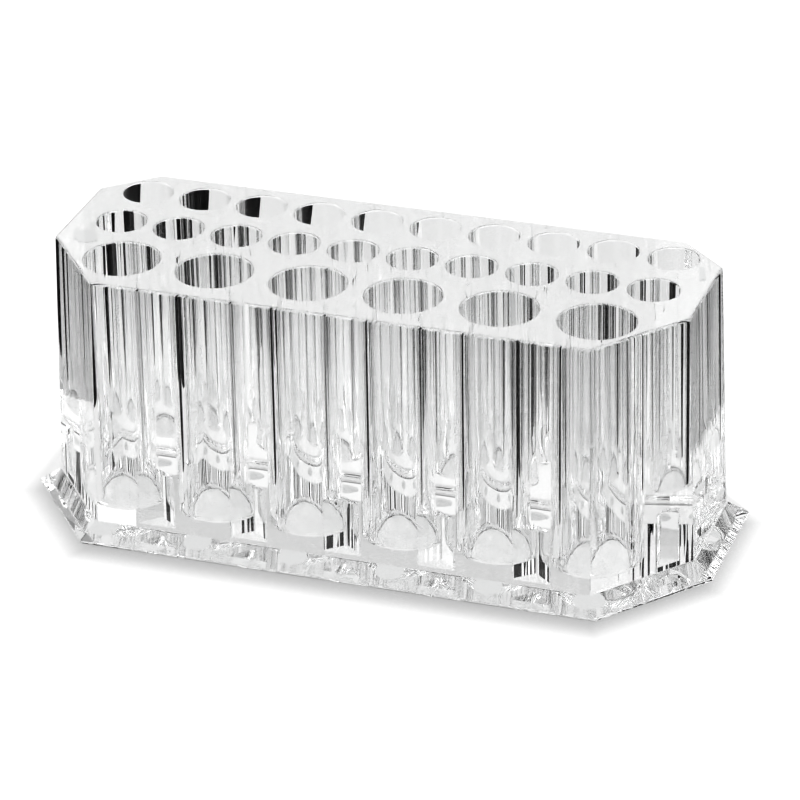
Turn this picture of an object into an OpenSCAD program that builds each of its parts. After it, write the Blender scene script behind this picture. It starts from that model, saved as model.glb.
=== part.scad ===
// Clear vanity organizer: a solid moulded block with three rows of round wells,
// standing on a wider bevelled base plate with two rows of six thin clear pads.
// Millimetres. Z is up, the front faces -Y, and Z zero is the surface it stands on.

/* [Front row] */
// Wells in the front row
front_count = 6; // [2:1:6]
// Bore of a front well
front_bore = 26.6; // [20:0.1:30]
// Depth of a front well below the deck
front_depth = 89.8; // [40:0.1:90]
// From the end front well to the end of the deck
front_end_wall = 15.95; // [12:0.05:30]

/* [Small rows] */
// Wells in the middle row and in the back row
small_count = 10; // [8:1:12]
// Bore of a small well
small_bore = 17.6; // [14:0.1:21]
// Depth of a small well below the deck
small_depth = 70.4; // [30:0.2:88]
// Wall between two small wells
small_web = 3.9; // [2:0.1:8]
// From the end small well to the end of the deck
small_end_wall = 8.95; // [4:0.05:20]

/* [Walls] */
// From the deck's front edge to the front wells
front_wall = 7.9; // [5:0.1:15]
// From the front wells to the middle wells
front_row_gap = 6.3; // [3:0.1:12]
// From the middle wells to the back wells
back_row_gap = 7.8; // [3:0.1:12]
// From the back wells to the deck's back edge
back_wall = 5.4; // [3:0.1:12]
// Least wall between an end front well and the chamfered corner beside it
front_corner_wall = 2.7; // [1.5:0.1:8]
// Least wall between an end back well and the chamfered corner beside it
back_corner_wall = 1.8; // [1.2:0.1:6]
// Way that a front corner faces, turned from the end wall towards the front
front_corner_turn = 39.1; // [30:0.1:55]
// Way that a back corner faces, turned from the end wall towards the back
back_corner_turn = 47.3; // [35:0.1:55]

/* [Block] */
// Height of the block above the base plate
block_height = 91.4; // [91:0.1:120]
// How far the walls lean out from the deck down to the foot
wall_lean = 2.5; // [0:0.1:5]
// Bevel round the deck's outer edge
deck_bevel = 1; // [0.4:0.1:2]
// Rounding of each well's rim
rim_radius = 0.65; // [0.2:0.05:1.2]
// Rounding where each well's wall meets its floor
floor_radius = 2.2; // [0.4:0.1:3]

/* [Hollows under the block] */
// Height of the hollows that thin the block's heavy spots
hollow_height = 20.4; // [8:0.1:40]
// Wall left between a hollow and the face in front of it
hollow_skin = 2; // [1.2:0.1:2.6]
// Width of the hollow between two front wells
hollow_width = 15.5; // [8:0.1:20]
// Depth of the hollow between two front wells
hollow_depth = 6.2; // [3:0.1:8]
// Width of the hollow behind each front corner
corner_hollow_width = 11.5; // [6:0.1:13]
// Depth of the hollow behind each front corner
corner_hollow_depth = 4.5; // [2:0.1:5]
// From the end wall to the middle of that hollow, along the corner's face
corner_hollow_place = 8; // [7:0.1:10]

/* [Base plate] */
// Thickness of the base plate
base_thickness = 5.6; // [4:0.1:10]
// How far the base plate stands out past the block's foot
base_skirt = 7.4; // [3:0.1:15]
// Height of the upright lip at the base plate's edge
base_lip = 1; // [0.5:0.1:2.5]
// Flat left on the base plate round the block's foot
base_reveal = 0.5; // [0.2:0.1:1.5]

/* [Pads] */
// Diameter of a pad
pad_diameter = 10; // [5:0.5:14]
// Thickness of a pad
pad_height = 0.8; // [0.5:0.1:2]
// From the base plate's front or back edge to the rims of the pads beside it
pad_edge_gap = 5.8; // [3:0.1:10]

/* [Hidden] */
$fn = 96;

// Every cut runs this far past the face that it opens
overrun = 1;

// Pitches, and the deck's size from the wells and their walls
small_pitch = small_bore + small_web;
deck_length = (small_count - 1) * small_pitch + small_bore + 2 * small_end_wall;
front_pitch = (deck_length - 2 * front_end_wall - front_bore) / (front_count - 1);
deck_depth = front_wall + front_bore + front_row_gap + small_bore + back_row_gap + small_bore + back_wall;
half_length = deck_length / 2;
half_depth = deck_depth / 2;

// Places of the three rows
front_y = front_wall + front_bore / 2 - half_depth;
middle_y = front_y + front_bore / 2 + front_row_gap + small_bore / 2;
back_y = middle_y + small_bore + back_row_gap;
front_x = half_length - front_end_wall - front_bore / 2;
small_x = half_length - small_end_wall - small_bore / 2;

// Levels
foot_z = pad_height + base_thickness;
deck_z = foot_z + block_height;

// How far each corner's face lies from the square corner that it cuts off
front_cut = (half_length - front_x) * cos(front_corner_turn)
    + (half_depth + front_y) * sin(front_corner_turn)
    - front_bore / 2 - front_corner_wall;
back_cut = (half_length - small_x) * cos(back_corner_turn)
    + (half_depth - back_y) * sin(back_corner_turn)
    - small_bore / 2 - back_corner_wall;

// The same distance once every face has moved out by grow
function cut_at(cut, turn, grow) = cut + grow * (cos(turn) + sin(turn) - 1);

// Outline of the deck, with every face moved out by grow
function outline(grow) =
    let (
        x = half_length + grow,
        y = half_depth + grow,
        front = cut_at(front_cut, front_corner_turn, grow),
        back = cut_at(back_cut, back_corner_turn, grow),
        front_leg_x = front / cos(front_corner_turn),
        front_leg_y = front / sin(front_corner_turn),
        back_leg_x = back / cos(back_corner_turn),
        back_leg_y = back / sin(back_corner_turn)
    )
    [
        [front_leg_x - x, -y],
        [x - front_leg_x, -y],
        [x, front_leg_y - y],
        [x, y - back_leg_y],
        [x - back_leg_x, y],
        [back_leg_x - x, y],
        [-x, y - back_leg_y],
        [-x, front_leg_y - y]
    ];

// Places of the pads: the end ones reach the corners of the plate's front edge
pads_per_row = 6;
plate_grow = wall_lean + base_skirt;
pad_end_x = outline(plate_grow)[1][0] - pad_diameter / 2;
pad_y = half_depth + plate_grow - pad_edge_gap - pad_diameter / 2;

// Solid through a stack of outlines, each given as [height, grow]
module stack(levels) {
    sides = len(outline(0));
    last = len(levels) - 1;
    polyhedron(
        points = [for (level = levels, p = outline(level[1])) [p[0], p[1], level[0]]],
        faces = concat(
            [[for (i = [0 : sides - 1]) i]],
            [[for (i = [0 : sides - 1]) last * sides + sides - 1 - i]],
            [for (k = [0 : last - 1], i = [0 : sides - 1])
                [
                    k * sides + i,
                    k * sides + sides + i,
                    k * sides + sides + (i + 1) % sides,
                    k * sides + (i + 1) % sides
                ]
            ]
        )
    );
}

// Half section of one well, from its floor up through the deck
module well_section(bore, depth) {
    square([bore / 2 - floor_radius, depth]);
    translate([0, floor_radius])
        square([bore / 2, depth - floor_radius + overrun]);
    translate([bore / 2 - floor_radius, floor_radius])
        circle(floor_radius);
    difference() {
        translate([0, depth - rim_radius])
            square([bore / 2 + rim_radius, rim_radius + overrun]);
        translate([bore / 2 + rim_radius, depth - rim_radius])
            circle(rim_radius);
    }
}

// One row of wells, spread evenly from -end_x to end_x
module well_row(count, end_x, y, bore, depth) {
    for (i = [0 : count - 1])
        translate([2 * end_x * i / (count - 1) - end_x, y, deck_z - depth])
            rotate_extrude()
                well_section(bore, depth);
}

// Wedge-shaped hollow, open below, with its flat side to the front
module hollow(width, depth) {
    translate([0, 0, foot_z - overrun])
        linear_extrude(hollow_height + overrun)
            polygon([[-width / 2, 0], [width / 2, 0], [0, depth]]);
}

// Hollows between the front wells
module front_hollows() {
    for (i = [1 : front_count - 1])
        translate([(i - front_count / 2) * front_pitch, hollow_skin - half_depth, 0])
            hollow(hollow_width, hollow_depth);
}

// Hollow behind the right front corner, square to the corner's face
module corner_hollow() {
    leg = front_cut / sin(front_corner_turn);
    translate([half_length, leg - half_depth, 0])
        rotate(90 - front_corner_turn)
            translate([-corner_hollow_place, hollow_skin, 0])
                hollow(corner_hollow_width, corner_hollow_depth);
}

// Moulded clear block with every well and hollow
module well_block() {
    color("WhiteSmoke", 0.35)
        difference() {
            stack([[foot_z, wall_lean], [deck_z - deck_bevel, 0], [deck_z, -deck_bevel]]);
            well_row(front_count, front_x, front_y, front_bore, front_depth);
            well_row(small_count, small_x, middle_y, small_bore, small_depth);
            well_row(small_count, small_x, back_y, small_bore, small_depth);
            front_hollows();
            corner_hollow();
            mirror([1, 0, 0])
                corner_hollow();
        }
}

// Bevelled clear plate under the block
module base_plate() {
    color("WhiteSmoke", 0.35)
        stack([
            [pad_height, plate_grow],
            [pad_height + base_lip, plate_grow],
            [foot_z, wall_lean + base_reveal]
        ]);
}

// One thin pad under the base plate, at its place in the row from the left; end is -1 for the front row, 1 for the back row
module pad(place, end) {
    color("White", 0.6)
        translate([pad_end_x * (2 * (place - 1) / (pads_per_row - 1) - 1), end * pad_y, 0])
            cylinder(d = pad_diameter, h = pad_height);
}

module pad_front_1() {
    pad(1, -1);
}

module pad_front_2() {
    pad(2, -1);
}

module pad_front_3() {
    pad(3, -1);
}

module pad_front_4() {
    pad(4, -1);
}

module pad_front_5() {
    pad(5, -1);
}

module pad_front_6() {
    pad(6, -1);
}

module pad_back_1() {
    pad(1, 1);
}

module pad_back_2() {
    pad(2, 1);
}

module pad_back_3() {
    pad(3, 1);
}

module pad_back_4() {
    pad(4, 1);
}

module pad_back_5() {
    pad(5, 1);
}

module pad_back_6() {
    pad(6, 1);
}

well_block();
base_plate();
pad_front_1();
pad_front_2();
pad_front_3();
pad_front_4();
pad_front_5();
pad_front_6();
pad_back_1();
pad_back_2();
pad_back_3();
pad_back_4();
pad_back_5();
pad_back_6();
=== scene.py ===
# Clear vanity organizer: a solid moulded block with three rows of round wells, on a bevelled base plate
from math import cos, hypot, pi, radians, sin, tan

import bmesh
import bpy
from mathutils import Matrix, Vector


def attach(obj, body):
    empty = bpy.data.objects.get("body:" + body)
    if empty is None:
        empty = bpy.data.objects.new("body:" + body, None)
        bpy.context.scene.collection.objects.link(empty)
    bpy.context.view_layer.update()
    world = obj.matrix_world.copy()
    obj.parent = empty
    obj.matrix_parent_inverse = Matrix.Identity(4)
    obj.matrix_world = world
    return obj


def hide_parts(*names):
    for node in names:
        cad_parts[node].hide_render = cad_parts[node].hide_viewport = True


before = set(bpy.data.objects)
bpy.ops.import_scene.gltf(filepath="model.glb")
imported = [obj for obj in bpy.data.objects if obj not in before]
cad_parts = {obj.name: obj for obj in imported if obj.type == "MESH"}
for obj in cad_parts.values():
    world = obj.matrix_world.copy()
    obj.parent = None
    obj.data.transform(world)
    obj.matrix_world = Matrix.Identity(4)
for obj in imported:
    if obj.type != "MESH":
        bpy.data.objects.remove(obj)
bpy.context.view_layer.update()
scene = bpy.context.scene
mm = 0.001
rightAngle = pi / 2

# The camera stands where the photograph was taken from: lengths in mm, angles in degrees, clip in metres
view = {"target": (4.3, 7.6, 40.8), "distance": 1520, "azimuth": 19.25, "elevation": 27.41, "roll": -1.18,
        "lens": 195.27, "film": 36, "clip": (0.1, 50)}


def makeCamera(v):
    az, el, roll = (radians(v[k]) for k in ("azimuth", "elevation", "roll"))
    back = Vector((sin(az) * cos(el), -cos(az) * cos(el), sin(el)))
    right = (-back).cross(Vector((0, 0, 1))).normalized()
    up = right.cross(-back)
    x, y = right * cos(roll) + up * sin(roll), up * cos(roll) - right * sin(roll)
    place = (Vector(v["target"]) + back * v["distance"]) * mm
    data = bpy.data.cameras.new("camera")
    data.sensor_width, data.lens = v["film"], v["lens"]
    data.clip_start, data.clip_end = v["clip"]
    camera = bpy.data.objects.new("camera", data)
    camera.matrix_world = Matrix(((x.x, y.x, back.x, place.x), (x.y, y.y, back.y, place.y),
                                  (x.z, y.z, back.z, place.z), (0, 0, 0, 1)))
    scene.collection.objects.link(camera)
    scene.camera = camera


makeCamera(view)
print("camera set")


# One wrapper turns Python sums into Math nodes, in a material or in a geometry tree
class Wire:
    def __init__(self, tree, socket):
        self.tree, self.socket = tree, socket

    def node(self, kind, settings=None, out=0, **sockets):
        n = self.tree.nodes.new(kind)
        for key, value in (settings or {}).items():
            setattr(n, key, value)
        for key, value in sockets.items():
            # i0, i6 and the like give a socket's place, and an underscore stands for a space in its name
            key = int(key[1:]) if key[0] == "i" and key[1:].isdigit() else key.replace("_", " ")
            feed(self.tree, n.inputs[key], value)
        return Wire(self.tree, n.outputs[out])

    def math(self, operation, a, b=0.0, c=0.0):
        return self.node("ShaderNodeMath", {"operation": operation}, i0=a, i1=b, i2=c)

    def sine(self):
        return self.math("SINE", self)

    def cosine(self):
        return self.math("COSINE", self)

    def clamped(self):
        return self.node("ShaderNodeClamp", None, Value=self, Min=0.0, Max=1.0)

    def __add__(self, other):
        return self.math("ADD", self, other)

    def __sub__(self, other):
        return self.math("SUBTRACT", self, other)

    def __rsub__(self, other):
        return self.math("SUBTRACT", other, self)

    def __mul__(self, other):
        return self.math("MULTIPLY", self, other)

    def __truediv__(self, other):
        return self.math("DIVIDE", self, other)

    def __gt__(self, other):
        return self.math("GREATER_THAN", self, other)

    __radd__, __rmul__ = __add__, __mul__


def feed(tree, socket, value):
    if isinstance(value, Wire):
        tree.links.new(value.socket, socket)
    else:
        socket.default_value = value


# Sizes of the moulded block, in mm, as the solids have them. A turn is the angle of a corner's face, in
# degrees as smoothBelow is, and a cut is how far that face lies from the uncut corner.
block = {"halfLength": 114.5, "halfDepth": 44.6, "footZ": 6.4, "deckZ": 97.8, "lean": 2.5,
         "edgeRound": 1.0, "edgeSteps": 6, "cornerRound": 0.8, "cornerSteps": 5,
         "frontTurn": 39.1, "frontCut": 20.09, "backTurn": 47.3, "backCut": 11.6, "smoothBelow": 35}
# Rows of wells, each with the x of its end well
rows = {"front": {"count": 6, "endX": 85.25, "y": -23.4, "boreRadius": 13.3, "depth": 89.8},
        "middle": {"count": 10, "endX": 96.75, "y": 5.0, "boreRadius": 8.8, "depth": 70.4},
        "back": {"count": 10, "endX": 96.75, "y": 30.4, "boreRadius": 8.8, "depth": 70.4}}
wellShape = {"rim": 0.65, "floor": 2.2, "over": 1.0, "steps": 8, "sides": 160}
# Hollows under the block, each a wedge with its flat side to the face in front of it
hollows = {"height": 20.4, "skin": 2.0, "width": 15.5, "depth": 6.2, "cornerWidth": 11.5, "cornerDepth": 4.5,
           "cornerPlace": 8.0, "cornerRound": 0.5, "roofRound": 0.4, "over": 1.0, "steps": 5}
# footMid, lipMidDrop, lipMidInset and edgeMid place the middle point of a softened edge, as shares of its
# rounding
plate = {"bottomZ": 0.8, "topZ": 6.4, "skirt": 7.4, "lip": 1.0, "reveal": 0.5, "cornerRound": 0.6,
         "edgeRound": 0.25, "footMid": 0.3, "lipMidDrop": 0.1, "lipMidInset": 0.25, "smoothBelow": 35}
pads = {"radius": 5.0, "height": 0.8, "endX": 88.35, "y": 43.7, "perRow": 6, "sides": 64,
        "edge": 0.15, "edgeMid": 0.3, "smoothBelow": 50}
# A face of the block is bonded to the plate if it looks down and lies within reach, in mm, of the foot
bonded = {"reach": 0.1, "down": -0.9}
# Each piece has its own finish first, and then that of its bonded faces
ownFinish, bondFinish = 0, 1


def corners(grow):
    # Eight corners of the outline with each face moved out by grow, from the front left one to the right
    x, y = block["halfLength"] + grow, block["halfDepth"] + grow
    legs = []
    for turn, cut in ((block["frontTurn"], block["frontCut"]), (block["backTurn"], block["backCut"])):
        c, s = cos(radians(turn)), sin(radians(turn))
        d = cut + grow * (c + s - 1)
        legs.append((d / c, d / s))
    (fx, fy), (bx, by) = legs
    return [Vector(p) for p in ((fx - x, -y), (x - fx, -y), (x, fy - y), (x, y - by),
                                (x - bx, y), (bx - x, y), (-x, y - by), (-x, fy - y))]


def rounded(pts, radius, steps, inset=0.0):
    # An outline with its corners rounded, and then moved in by inset
    out, n = [], len(pts)
    for i, p in enumerate(pts):
        a, b = (pts[i - 1] - p).normalized(), (pts[(i + 1) % n] - p).normalized()
        half = a.angle(b) / 2
        mid = p + (a + b).normalized() * radius / sin(half)
        start, end = p + a * radius / tan(half) - mid, p + b * radius / tan(half) - mid
        sweep = start.angle(end)
        for k in range(steps + 1):
            t = k / steps
            spoke = (start * sin((1 - t) * sweep) + end * sin(t * sweep)) / sin(sweep)
            out.append(mid + spoke * (1 - inset / radius))
    return out


def quarterRound(steps):
    # Angles from nought to a right angle
    return [k / steps * rightAngle for k in range(steps + 1)]


def ring(bm, pts, z):
    return [bm.verts.new((p[0] * mm, p[1] * mm, z * mm)) for p in pts]


def skin(bm, rings):
    n = len(rings[0])
    for low, high in zip(rings, rings[1:]):
        for i in range(n):
            bm.faces.new((low[i], low[(i + 1) % n], high[(i + 1) % n], high[i]))


def closedSkin(bm, rings, topFinish=ownFinish):
    skin(bm, rings)
    bm.faces.new(reversed(rings[0]))
    bm.faces.new(rings[-1]).material_index = topFinish


def addObject(name, bm, materials=()):
    mesh = bpy.data.meshes.new(name)
    bm.to_mesh(mesh)
    bm.free()
    for m in materials:
        mesh.materials.append(m)
    obj = bpy.data.objects.new(name, mesh)
    scene.collection.objects.link(obj)
    return obj


def applyModifiers(obj, keepNormals=False):
    graph = bpy.context.evaluated_depsgraph_get()
    mesh = bpy.data.meshes.new_from_object(obj.evaluated_get(graph), preserve_all_data_layers=keepNormals,
                                           depsgraph=graph)
    obj.modifiers.clear()
    obj.data = mesh


# One geometry tree makes a row of wells: each well is a path whose points carry the radius of its section
wellInputs = {"Count": "Int", "End X": "Float", "Row Y": "Float", "Floor Z": "Float", "Bore Radius": "Float",
              "Depth": "Float", "Rim Radius": "Float", "Floor Radius": "Float", "Overrun": "Float",
              "Steps": "Int", "Sides": "Int", "Material": "Material"}


def wellRowTree():
    tree = bpy.data.node_groups.new("well row", "GeometryNodeTree")
    for name, kind in wellInputs.items():
        tree.interface.new_socket(name, in_out="INPUT", socket_type="NodeSocket" + kind)
    tree.interface.new_socket("Geometry", in_out="OUTPUT", socket_type="NodeSocketGeometry")
    inputs = tree.nodes.new("NodeGroupInput")
    size = {s.name: Wire(tree, s) for s in inputs.outputs if s.name}
    w, steps = Wire(tree, None), size["Steps"]
    index = w.node("GeometryNodeInputIndex")
    floorRound, rimRound = size["Floor Radius"], size["Rim Radius"]
    # The points climb the floor's rounding and then the rim's, and the last one stands clear of the deck
    floorTurn = (index / steps).clamped() * rightAngle
    rimTurn = ((index - steps - 1.0) / steps).clamped() * rightAngle
    straight = (index > steps) * (size["Depth"] - rimRound - floorRound)
    over = (index > steps * 2.0 + 1.0) * size["Overrun"]
    z = floorRound * (1.0 - floorTurn.cosine()) + straight + rimRound * rimTurn.sine() + over
    r = size["Bore Radius"] - floorRound + floorRound * floorTurn.sine() + rimRound * (1.0 - rimTurn.cosine())
    line = w.node("GeometryNodeCurvePrimitiveLine", {"mode": "POINTS"})
    path = w.node("GeometryNodeResampleCurve", None, Curve=line, Count=steps * 2.0 + 3.0)
    climb = w.node("ShaderNodeCombineXYZ", None, Z=z)
    path = w.node("GeometryNodeSetPosition", None, Geometry=path, Position=climb)
    circle = w.node("GeometryNodeCurvePrimitiveCircle", {"mode": "RADIUS"}, Resolution=size["Sides"],
                    Radius=1.0)
    sweep = w.node("GeometryNodeCurveToMesh", None, Curve=path, Profile_Curve=circle, Scale=r, Fill_Caps=True)
    start = w.node("ShaderNodeCombineXYZ", None, X=0.0 - size["End X"], Y=size["Row Y"], Z=size["Floor Z"])
    pitch = w.node("ShaderNodeCombineXYZ", None, X=size["End X"] * 2.0 / (size["Count"] - 1.0))
    spots = w.node("GeometryNodeMeshLine", {"mode": "OFFSET"}, Count=size["Count"], Start_Location=start,
                   Offset=pitch)
    wells = w.node("GeometryNodeInstanceOnPoints", None, Points=spots, Instance=sweep)
    wells = w.node("GeometryNodeRealizeInstances", None, Geometry=wells)
    wells = w.node("GeometryNodeSetMaterial", None, Geometry=wells, Material=size["Material"])
    feed(tree, tree.nodes.new("NodeGroupOutput").inputs[0], wells)
    return tree


def wellRow(tree, name, material):
    row, s = rows[name], wellShape
    lengths = {"End X": row["endX"], "Row Y": row["y"], "Floor Z": block["deckZ"] - row["depth"],
               "Bore Radius": row["boreRadius"], "Depth": row["depth"], "Rim Radius": s["rim"],
               "Floor Radius": s["floor"], "Overrun": s["over"]}
    values = {key: value * mm for key, value in lengths.items()}
    values |= {"Count": row["count"], "Steps": s["steps"], "Sides": s["sides"], "Material": material}
    wells = bpy.data.objects.new(name + " wells", bpy.data.meshes.new(name + " wells"))
    scene.collection.objects.link(wells)
    mod = wells.modifiers.new("wells", "NODES")
    mod.node_group = tree
    for socket in tree.interface.items_tree:
        if socket.in_out == "INPUT":
            mod[socket.identifier] = values[socket.name]
    applyModifiers(wells)
    return wells


def wedge(place, turn, width, depth):
    t = Matrix.Rotation(turn, 2)
    return [place + t @ Vector(p) for p in ((-width / 2, 0), (width / 2, 0), (0, depth))]


def hollowOutlines():
    # One hollow between each two front wells, and one behind each front corner
    h, out = hollows, []
    count, endX = rows["front"]["count"], rows["front"]["endX"]
    pitch = 2 * endX / (count - 1)
    for i in range(1, count):
        place = Vector(((i - count / 2) * pitch, h["skin"] - block["halfDepth"]))
        out.append(wedge(place, 0.0, h["width"], h["depth"]))
    turn = rightAngle - radians(block["frontTurn"])
    spot = corners(0)[2] + Matrix.Rotation(turn, 2) @ Vector((-h["cornerPlace"], h["skin"]))
    for side in (-1, 1):
        out.append(wedge(Vector((side * spot.x, spot.y)), side * turn, h["cornerWidth"], h["cornerDepth"]))
    return out


def turnOutwards(obj):
    bm = bmesh.new()
    bm.from_mesh(obj.data)
    bmesh.ops.recalc_face_normals(bm, faces=bm.faces)
    bm.to_mesh(obj.data)
    bm.free()


def cutAway(obj, cutters):
    for cutter in cutters:
        turnOutwards(cutter)
        mod = obj.modifiers.new("cut", "BOOLEAN")
        mod.object, mod.operation, mod.solver = cutter, "DIFFERENCE", "EXACT"
    applyModifiers(obj)
    for cutter in cutters:
        bpy.data.objects.remove(cutter)


def smoothByAngle(obj, degrees):
    # Curved skins read as round while flat faces stay flat
    mesh = obj.data
    mesh.polygons.foreach_set("use_smooth", [True] * len(mesh.polygons))
    mesh.set_sharp_from_angle(angle=radians(degrees))
    obj.modifiers.new("flat faces first", "WEIGHTED_NORMAL").keep_sharp = True
    applyModifiers(obj, keepNormals=True)


def blockBody(clear, bond):
    b = block
    levels = [(b["footZ"], b["lean"])]
    for t in quarterRound(b["edgeSteps"]):
        levels.append((b["deckZ"] - b["edgeRound"] * (1 - sin(t)), -b["edgeRound"] * (1 - cos(t))))
    bm = bmesh.new()
    closedSkin(bm, [ring(bm, rounded(corners(grow), b["cornerRound"], b["cornerSteps"]), z)
                    for z, grow in levels])
    return addObject("clearBlock", bm, (clear, bond))


def hollowCutter(clear):
    h, footZ = hollows, block["footZ"]
    roof = footZ + h["height"]
    bm = bmesh.new()
    for pts in hollowOutlines():
        levels = [(footZ - h["over"], 0.0)]
        for t in quarterRound(h["steps"]):
            levels.append((roof - h["roofRound"] * (1 - sin(t)), h["roofRound"] * (1 - cos(t))))
        closedSkin(bm, [ring(bm, rounded(pts, h["cornerRound"], h["steps"], inset), z)
                        for z, inset in levels])
    return addObject("hollows", bm, (clear,))


def makeBlock(clear, bond):
    body = blockBody(clear, bond)
    tree = wellRowTree()
    cutAway(body, [wellRow(tree, name, clear) for name in rows] + [hollowCutter(clear)])
    reach = (block["footZ"] + bonded["reach"]) * mm
    for face in body.data.polygons:
        isBonded = face.normal.z < bonded["down"] and face.center.z < reach
        face.material_index = bondFinish if isBonded else ownFinish
    smoothByAngle(body, block["smoothBelow"])
    return body


def fillFlat(bm, loops, finish, up):
    # Fills the flat between the loops, with faces that look up, or down where up is -1
    edges = set()
    for loop in loops:
        for i, v in enumerate(loop):
            w = loop[(i + 1) % len(loop)]
            edges.add(bm.edges.get((v, w)) or bm.edges.new((v, w)))
    made = bmesh.ops.triangle_fill(bm, use_beauty=True, edges=list(edges), normal=(0, 0, up))["geom"]
    for face in (g for g in made if isinstance(g, bmesh.types.BMFace)):
        face.material_index = finish
        face.normal_update()
        if face.normal.z * up < 0:
            face.normal_flip()


def disc(x, y, radius, sides):
    turns = [2 * pi * i / sides for i in range(sides)]
    return [Vector((x + radius * cos(t), y + radius * sin(t))) for t in turns]


def padPlaces():
    n = pads["perRow"]
    return {(end, i + 1): (pads["endX"] * (2 * i / (n - 1) - 1), side * pads["y"])
            for end, side in (("front", -1), ("back", 1)) for i in range(n)}


def plateLevels():
    # Height and outline of each ring of the plate, from its underside up the lip and the bevel
    p, lean, soft = plate, block["lean"], plate["edgeRound"]
    out, top = lean + p["skirt"], lean + p["reveal"]
    run, rise = p["skirt"] - p["reveal"], p["topZ"] - p["bottomZ"] - p["lip"]
    slope = hypot(run, rise)
    up, inward = soft * rise / slope, soft * run / slope
    lipTop = p["bottomZ"] + p["lip"]
    foot = soft * p["footMid"]
    return [(p["bottomZ"], out - soft), (p["bottomZ"] + foot, out - foot), (p["bottomZ"] + soft, out),
            (lipTop - soft, out), (lipTop - soft * p["lipMidDrop"], out - soft * p["lipMidInset"]),
            (lipTop + up, out - inward), (p["topZ"] - up, top + inward), (p["topZ"], top - soft)]


def makePlate(clear, bond):
    # The plate's flats are cut where the block and the pads are bonded to it, so no air film shows there
    p, b = plate, block
    bm = bmesh.new()
    rings = [ring(bm, rounded(corners(grow), p["cornerRound"], b["cornerSteps"]), z)
             for z, grow in plateLevels()]
    foot = ring(bm, rounded(corners(b["lean"]), b["cornerRound"], b["cornerSteps"]), p["topZ"])
    skin(bm, rings + [foot])
    windows = [ring(bm, rounded(pts, hollows["cornerRound"], hollows["steps"]), p["topZ"])
               for pts in hollowOutlines()]
    for window in windows:
        bm.faces.new(window)
    fillFlat(bm, [foot] + windows, bondFinish, up=1)
    spots = [ring(bm, disc(x, y, pads["radius"], pads["sides"]), p["bottomZ"])
             for x, y in padPlaces().values()]
    for spot in spots:
        bm.faces.new(reversed(spot)).material_index = bondFinish
    fillFlat(bm, [rings[0]] + spots, ownFinish, up=-1)
    obj = addObject("bevelledBasePlate", bm, (clear, bond))
    smoothByAngle(obj, p["smoothBelow"])
    return obj


def makePad(end, number, x, y, soft, bond):
    p, edge = pads, pads["edge"]
    mid = edge * p["edgeMid"]
    levels = [(0, p["radius"] - edge), (mid, p["radius"] - mid), (edge, p["radius"]),
              (p["height"], p["radius"])]
    bm = bmesh.new()
    closedSkin(bm, [ring(bm, disc(x, y, r, p["sides"]), z) for z, r in levels], topFinish=bondFinish)
    obj = addObject(f"softPad{end.title()}{number}", bm, (soft, bond))
    smoothByAngle(obj, p["smoothBelow"])
    return obj


# Finishes, which read a piece's own coordinates
black, white = (0, 0, 0, 1), (1, 1, 1, 1)


def newMaterial(name):
    material = bpy.data.materials.new(name)
    material.use_nodes = True
    tree = material.node_tree
    return material, Wire(tree, None), tree.nodes["Principled BSDF"]


def mixed(w, share, first, second):
    return w.node("ShaderNodeMix", {"data_type": "RGBA"}, out=2, i0=share, i6=first, i7=second)


def smoothStep(w, value, low, high, atLow, atHigh):
    return w.node("ShaderNodeMapRange", {"interpolation_type": "SMOOTHSTEP"}, Value=value, From_Min=low,
                  From_Max=high, To_Min=atLow, To_Max=atHigh)


def bump(w, shader, height, distance):
    feed(w.tree, shader.inputs["Normal"],
         w.node("ShaderNodeBump", None, Strength=1.0, Distance=distance, Height=height))


# Ripples run up the walls, stronger near the foot, and slow waves cross the flats low in the moulding.
# Sizes are in mm, and flatAbove and wallBelow are squares of how far a face looks up or down.
moulding = {"tints": ((0.99, 0.99, 0.99, 1), (0.98, 0.982, 0.982, 1)), "dullness": 0.0045,
            "cloudsPerMetre": 55.0, "rippleWide": 3.0, "rippleTall": 90.0, "rippleHigh": 0.04,
            "rippleLow": 0.08, "lowFrom": 25.0, "lowTo": 48.0, "waveWide": 10.0, "waveHigh": 0.02,
            "waveBelow": 30.0, "flatAbove": 0.8, "wallBelow": 0.1, "refraction": 1.49,
            "blockRelief": 1.0, "plateRelief": 0.15}


def clearPlastic(name, relief):
    # Polished clear moulding: a tint that drifts, an uneven polish, and the ripple that a mould leaves
    material, w, shader = newMaterial(name)
    m = moulding
    place = w.node("ShaderNodeTexCoord", out="Object")
    wide, tall = 1 / (m["rippleWide"] * mm), 1 / (m["rippleTall"] * mm)
    stretched = w.node("ShaderNodeMapping", None, Vector=place, Scale=(wide, wide, tall))
    ripple = w.node("ShaderNodeTexNoise", None, Vector=stretched, Scale=1.0, Detail=1.0, Roughness=0.4)
    wave = w.node("ShaderNodeTexNoise", None, Vector=place, Scale=1 / (m["waveWide"] * mm), Detail=0.5)
    cloud = w.node("ShaderNodeTexNoise", None, Vector=place, Scale=m["cloudsPerMetre"], Detail=2.0)
    facing = w.node("ShaderNodeSeparateXYZ", out="Z", Vector=w.node("ShaderNodeTexCoord", out="Normal"))
    flat, steep = facing * facing > m["flatAbove"], m["wallBelow"] - facing * facing > 0.0
    z = w.node("ShaderNodeSeparateXYZ", out="Z", Vector=place)
    low = m["waveBelow"] * mm - z > 0.0
    high = smoothStep(w, z, m["lowFrom"] * mm, m["lowTo"] * mm, m["rippleLow"], m["rippleHigh"])
    feed(w.tree, shader.inputs["Base Color"], mixed(w, cloud, *m["tints"]))
    feed(w.tree, shader.inputs["Roughness"], cloud * m["dullness"])
    bump(w, shader, (ripple * steep * high + wave * flat * low * m["waveHigh"]) * relief, mm)
    shader.inputs["Transmission Weight"].default_value = 1
    shader.inputs["IOR"].default_value = m["refraction"]
    return material


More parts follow.
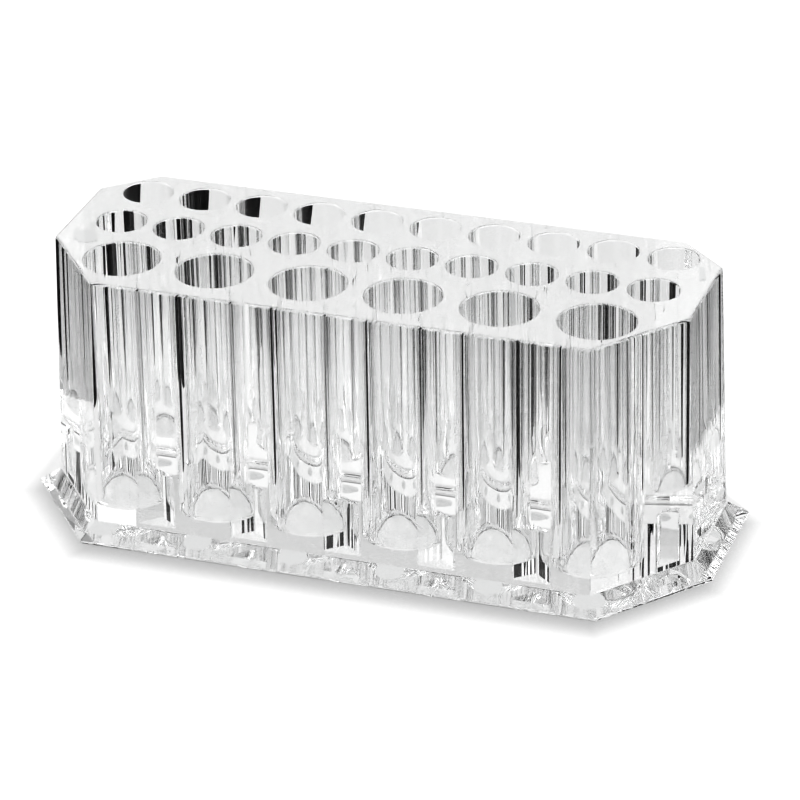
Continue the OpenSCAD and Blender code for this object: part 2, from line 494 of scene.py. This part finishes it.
def bondedFace():
    # Where two pieces are bonded the light goes straight on
    material, w, shader = newMaterial("bonded face")
    shader.inputs["Alpha"].default_value = 0
    shader.inputs["Specular IOR Level"].default_value = 0
    return material


padFinish = {"tints": ((0.74, 0.75, 0.75, 1), (0.84, 0.84, 0.84, 1)), "grainsPerMetre": 900.0,
             "grainHigh": 0.02, "dullness": 0.4, "dullnessDrift": 0.2, "refraction": 1.05}


def softPad():
    # Milky soft plastic, faintly grained, that lets the table's light up through it
    material, w, shader = newMaterial("soft milky pad")
    p = padFinish
    place = w.node("ShaderNodeTexCoord", out="Object")
    grain = w.node("ShaderNodeTexNoise", None, Vector=place, Scale=p["grainsPerMetre"], Detail=2.0)
    feed(w.tree, shader.inputs["Base Color"], mixed(w, grain, *p["tints"]))
    feed(w.tree, shader.inputs["Roughness"], grain * p["dullnessDrift"] + p["dullness"])
    bump(w, shader, grain, p["grainHigh"] * mm)
    shader.inputs["Transmission Weight"].default_value = 1
    shader.inputs["IOR"].default_value = p["refraction"]
    return material


clear = clearPlastic("clear block plastic", moulding["blockRelief"])
clearBase = clearPlastic("clear plate plastic", moulding["plateRelief"])
bond = bondedFace()
padSoft = softPad()

blockObj = makeBlock(clear, bond)
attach(blockObj, "root")
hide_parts("well_block")
print("block made:", len(blockObj.data.polygons), "faces")

plateObj = makePlate(clearBase, bond)
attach(plateObj, "root")
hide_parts("base_plate")
print("base plate made:", len(plateObj.data.polygons), "faces")

for (end, number), (x, y) in padPlaces().items():
    pad = makePad(end, number, x, y, padSoft, bond)
    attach(pad, "root")
    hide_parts(f"pad_{end}_{number}")
print("pads made")

# The studio is a light table under and behind the organizer, a light above it and walls of strip lights
# round it, whose dark gaps draw the streaks. Sizes are in mm.
toRight, toBack, toTop = (1, 0, 0), (0, 1, 0), (0, 0, 1)
# A level panel is its middle, its size and its glow
studio = {"table under": ((-18, -7.5, -1), (320, 135), 0.94),
          "table behind": ((-18, 102.5, -1), (320, 85), 1.05),
          "table far behind": ((-18, 672.5, -1), (320, 1055), 0.93),
          "ground": ((0, 0, -3), (9000, 9000), 0.0),  # dark, so only the tables light the foot
          "top": ((0, 0, 1550), (3200, 3200), 0.92)}
# A wall of strip lights is its middle, the way it runs, its length, and the glow of its low and high parts
lightWalls = {"back left": ((-600, 1200), toRight, 1200, (0.45, 0.78)),
              "back right": ((600, 1200), toRight, 1200, (0.33, 0.7)),
              "left back": ((-1200, 600), toBack, 1200, (1.1, 0.62)),
              "left front": ((-1200, -600), toBack, 1200, (1.8, 1.75)),
              "right back": ((1200, 600), toBack, 1200, (1.3, 0.95)),
              "right front": ((1200, -600), toBack, 1200, (2.3, 2.0)),
              "front left": ((-850, -1200), toRight, 700, (0.5, 0.5)),
              "front right": ((760, -1200), toRight, 880, (2.4, 2.4))}
# Heights where the walls' parts begin and end, and in degrees the angle from one strip to the next and the
# quiet stretch that the foot mirrors. gapShare is how much of each such angle is dark.
strips = {"levels": (0, 580, 1500), "pitch": 6.0, "gapShare": 0.35, "quietAt": 109.5, "quietHalf": 8.5}
# The camera sees a pale, glowing floor with a soft painted shadow, a dimmed glow that falls a little to the
# front and right of the base
floor = {"size": 9000, "below": 0.1, "glow": 1.0, "colour": 0.1, "shadow": 0.62, "fall": (1.0, -5.0),
         "fade": (-6.0, 9.5)}
# It also sees a pale wall far off
farWall = {"radius": 4300, "bottom": -10, "top": 4000, "sides": 64, "glow": 1.0}


def glowing(name, glow, colour=0.0):
    material, w, shader = newMaterial(name)
    shader.inputs["Base Color"].default_value = (colour, colour, colour, 1)
    shader.inputs["Specular IOR Level"].default_value = 0
    shader.inputs["Emission Color"].default_value = white
    shader.inputs["Emission Strength"].default_value = glow
    return material, w, shader


def panel(name, place, sideways, upwards, size, material):
    bm = bmesh.new()
    side, rise = Vector(sideways) * (size[0] / 2), Vector(upwards) * (size[1] / 2)
    pts = [(Vector(place) + side * i + rise * j) * mm for i, j in ((-1, -1), (1, -1), (1, 1), (-1, 1))]
    bm.faces.new([bm.verts.new(p) for p in pts])
    obj = addObject(name, bm, (material,))
    return obj


def onlySeen(obj):
    # The camera sees it, and it lights nothing
    obj.visible_diffuse = obj.visible_glossy = obj.visible_transmission = obj.visible_shadow = False


def stripFinish(name, glow):
    # Strips stand at even angles, and the quiet stretch between them is plain and as bright on the whole
    material, w, shader = glowing(name, glow / (1 - strips["gapShare"]))
    place = w.node("ShaderNodeTexCoord", out="Object")
    x, y = (w.node("ShaderNodeSeparateXYZ", out=axis, Vector=place) for axis in "XY")
    turn = y.math("ARCTAN2", y, x) * (180 / pi)
    lit = turn.math("FRACT", turn / strips["pitch"]) > strips["gapShare"]
    off = turn - strips["quietAt"]
    quiet = strips["quietHalf"] ** 2 - off * off > 0.0
    share = quiet * (1 - strips["gapShare"]) + (1.0 - quiet) * lit
    feed(w.tree, shader.inputs["Emission Color"], mixed(w, share, black, white))
    return material


def paintedShadowFloor():
    # The painted shadow dims the floor's glow and fades with the distance from the base plate's outline,
    # which is the farthest of the five faces on either half
    material, w, shader = glowing("pale floor with painted shadow", floor["glow"], floor["colour"])
    place = w.node("ShaderNodeTexCoord", out="Object")
    x, y = (w.node("ShaderNodeSeparateXYZ", out=axis, Vector=place) - shift * mm
            for axis, shift in zip("XY", floor["fall"]))
    x = x.math("ABSOLUTE", x)
    pts = corners(block["lean"] + plate["skirt"])
    front, back = radians(block["frontTurn"]), radians(block["backTurn"])
    faces = ((1, 0, pts[2]), (0, -1, pts[1]), (0, 1, pts[4]),
             (cos(front), -sin(front), pts[1]), (cos(back), sin(back), pts[4]))
    away = None
    for nx, ny, p in faces:
        d = x * nx + y * ny - (p.x * nx + p.y * ny) * mm
        away = d if away is None else away.math("MAXIMUM", away, d)
    near, far = (v * mm for v in floor["fade"])
    # Painted shadow: the glow is lowest at the base's outline and full beyond the fade
    share = smoothStep(w, away, near, far, floor["shadow"], 1.0)
    feed(w.tree, shader.inputs["Emission Color"], mixed(w, share, black, white))
    return material


def makeFarWall():
    bm = bmesh.new()
    low, high = (ring(bm, disc(0, 0, farWall["radius"], farWall["sides"]), farWall[end])
                 for end in ("bottom", "top"))
    skin(bm, [high, low])
    obj = addObject("far wall", bm, (glowing("pale wall", farWall["glow"])[0],))
    return obj


for name, (middle, size, glow) in studio.items():
    panel(name, middle, toRight, toBack, size, glowing(name, glow)[0]).visible_camera = False
for name, ((x, y), way, length, glows) in lightWalls.items():
    for part, low, high, glow in zip((" low", " high"), strips["levels"], strips["levels"][1:], glows):
        middle, finish = (x, y, (low + high) / 2), stripFinish(name + part, glow)
        panel(name + part, middle, way, toTop, (length, high - low), finish).visible_camera = False
onlySeen(panel("floor", (0, 0, -floor["below"]), toRight, toBack, (floor["size"],) * 2, paintedShadowFloor()))
onlySeen(makeFarWall())

# The air is black, the contrast is the photograph's, and light may pass many clear faces
world = bpy.data.worlds.new("studio air")
world.use_nodes = True
world.node_tree.nodes["Background"].inputs["Color"].default_value = black
scene.world = world
scene.view_settings.view_transform = "Standard"
scene.view_settings.gamma = 0.6
bounces = {"max_bounces": 40, "transmission_bounces": 40, "glossy_bounces": 12,
           "transparent_max_bounces": 40}
for key, most in bounces.items():
    setattr(scene.cycles, key, most)
scene.cycles.use_denoising = True
scene.cycles.denoising_input_passes = "RGB"
print("studio set")
